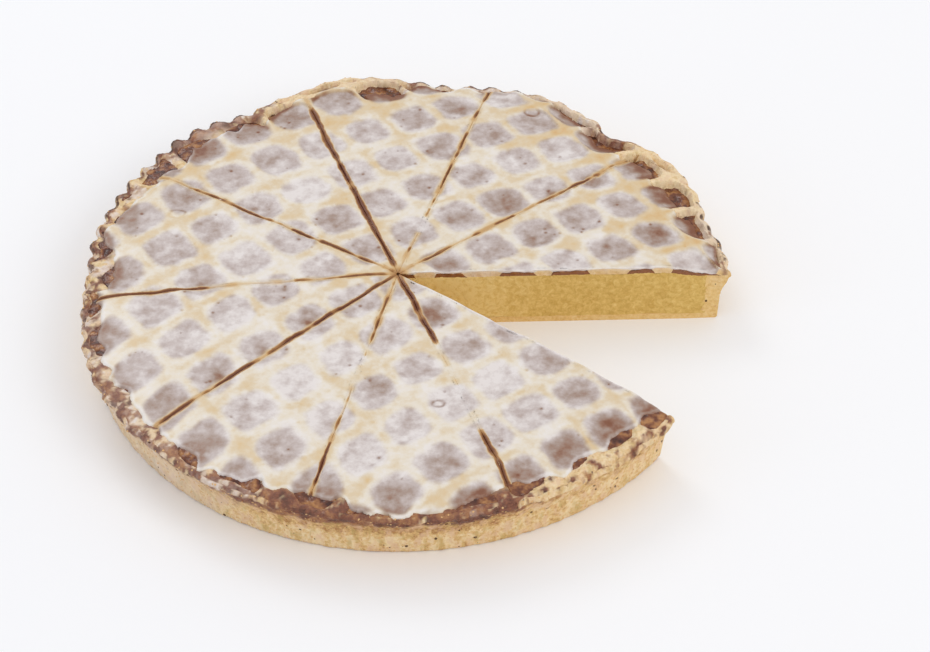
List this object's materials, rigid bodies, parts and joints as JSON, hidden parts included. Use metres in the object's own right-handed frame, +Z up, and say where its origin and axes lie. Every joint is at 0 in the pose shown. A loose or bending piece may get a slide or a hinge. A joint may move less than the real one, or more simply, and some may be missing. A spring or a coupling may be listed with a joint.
{
  "type": "frangipane tart",
  "caption": "Round frangipane tart in a fluted pastry shell, with jam under an iced pastry lattice, cut into portions with one portion taken out.",
  "frame": {"origin": "middle of the bounding box, on the plane the tart stands on", "axes": "+Z up through the tart's thickness; the missing slice opens towards +X and a little towards -Y"},
  "size_m": [0.2766, 0.284, 0.03],
  "materials": {
    "pastry": "baked shortcrust, matt and finely grainy, speckled brown",
    "filling": "cut almond sponge, matt with a fine open crumb",
    "jam": "baked jam, dark red brown, glossy and sticky",
    "lattice_pastry": "pale baked pastry strips, satin under icing",
    "icing": "thin set water icing, milky and half clear, softly glossy"
  },
  "bodies": {
    "root": {"crust_1": "pastry", "frangipane_1": "filling", "jam_1": "jam", "lattice_1": "lattice_pastry", "crust_2": "pastry", "frangipane_2": "filling", "jam_2": "jam", "lattice_2": "lattice_pastry", "crust_3": "pastry", "frangipane_3": "filling", "jam_3": "jam", "lattice_3": "lattice_pastry", "crust_4": "pastry", "frangipane_4": "filling", "jam_4": "jam", "lattice_4": "lattice_pastry", "crust_5": "pastry", "frangipane_5": "filling", "jam_5": "jam", "lattice_5": "lattice_pastry", "crust_6": "pastry", "frangipane_6": "filling", "jam_6": "jam", "lattice_6": "lattice_pastry", "crust_7": "pastry", "frangipane_7": "filling", "jam_7": "jam", "lattice_7": "lattice_pastry", "crust_8": "pastry", "frangipane_8": "filling", "jam_8": "jam", "lattice_8": "lattice_pastry", "crust_9": "pastry", "frangipane_9": "filling", "jam_9": "jam", "lattice_9": "lattice_pastry"}
  },
  "joints": []
}
